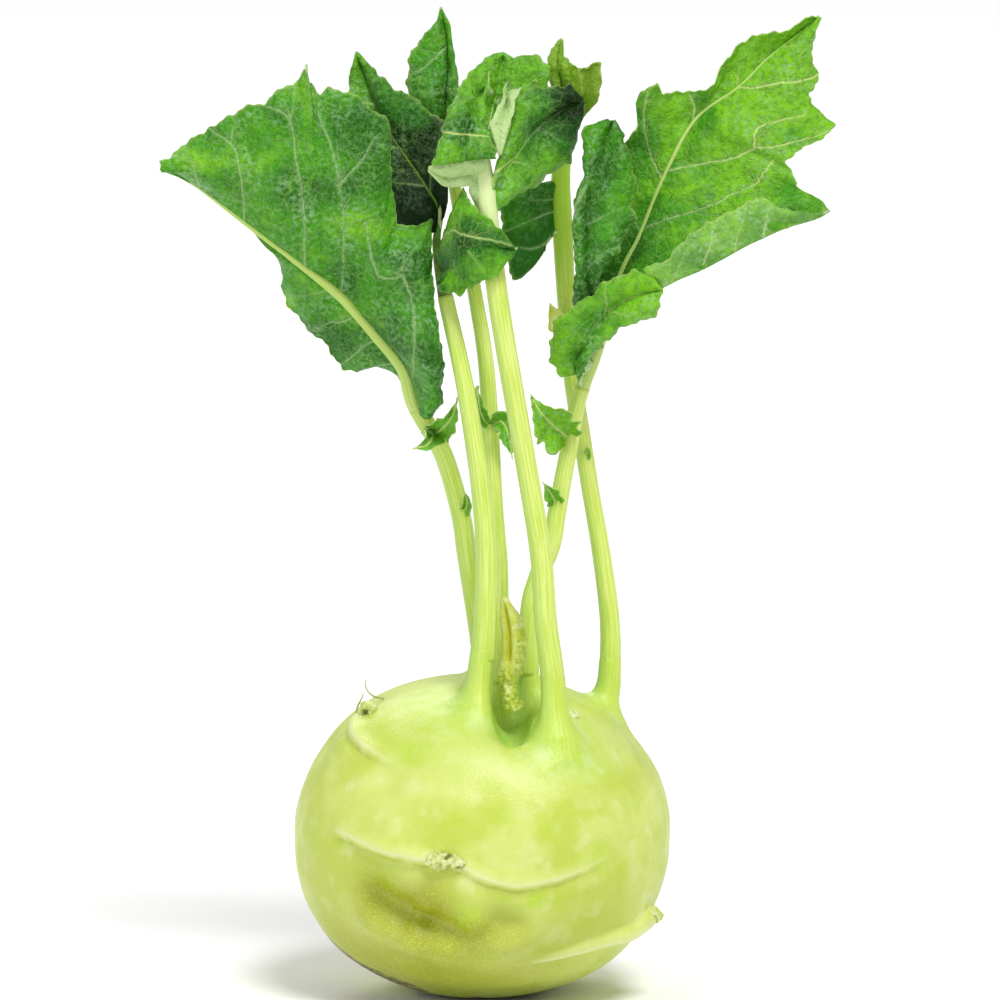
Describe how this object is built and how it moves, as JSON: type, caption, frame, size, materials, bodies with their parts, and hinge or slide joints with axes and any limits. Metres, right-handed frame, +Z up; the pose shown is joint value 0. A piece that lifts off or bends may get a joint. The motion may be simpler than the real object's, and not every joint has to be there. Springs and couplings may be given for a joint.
{
  "type": "kohlrabi",
  "caption": "Fresh kohlrabi: a squat round pale green swollen stem with leaf scars, long upright leaf stalks and torn, folded green leaves.",
  "frame": {"origin": "middle of the flat cut spot that the swollen stem stands on", "axes": "+Z up along the swollen stem's axis and the stalks, +X to the right and +Y to the back as the leaves are seen spread from the front"},
  "size_m": [0.1681, 0.0963, 0.2473],
  "materials": {
    "bulb_skin": "waxy pale green skin with a soft gloss, whiter ridges and corky scar ends",
    "stalk_skin": "smooth pale green stalk with fine lengthwise grooves",
    "leaf_bright": "bright green leaf with pale veins and a waxy blue-grey bloom",
    "leaf_dark": "dark green leaf with pale veins and a waxy blue-grey bloom",
    "dry_leaf": "withered, crinkled olive and cream leaf remains"
  },
  "bodies": {
    "root": {"bulb": "bulb_skin", "leaf_back": "leaf_bright", "leaf_front": "leaf_dark", "leaf_front_left": "leaf_dark", "leaf_left": "leaf_bright", "leaf_right": "leaf_bright", "leaf_right_rear": "leaf_bright", "leaflet_back": "leaf_dark", "leaflet_left": "leaf_dark", "leaflet_left_low": "leaf_dark", "leaflet_rear": "leaf_bright", "leaflet_rear_dry": "dry_leaf", "leaflet_right": "leaf_bright", "leaflet_right_low": "leaf_dark", "stalk_back": "stalk_skin", "stalk_front": "stalk_skin", "stalk_front_left": "stalk_skin", "stalk_left": "stalk_skin", "stalk_right": "stalk_skin", "stalk_right_rear": "stalk_skin", "stub": "dry_leaf"}
  },
  "joints": []
}
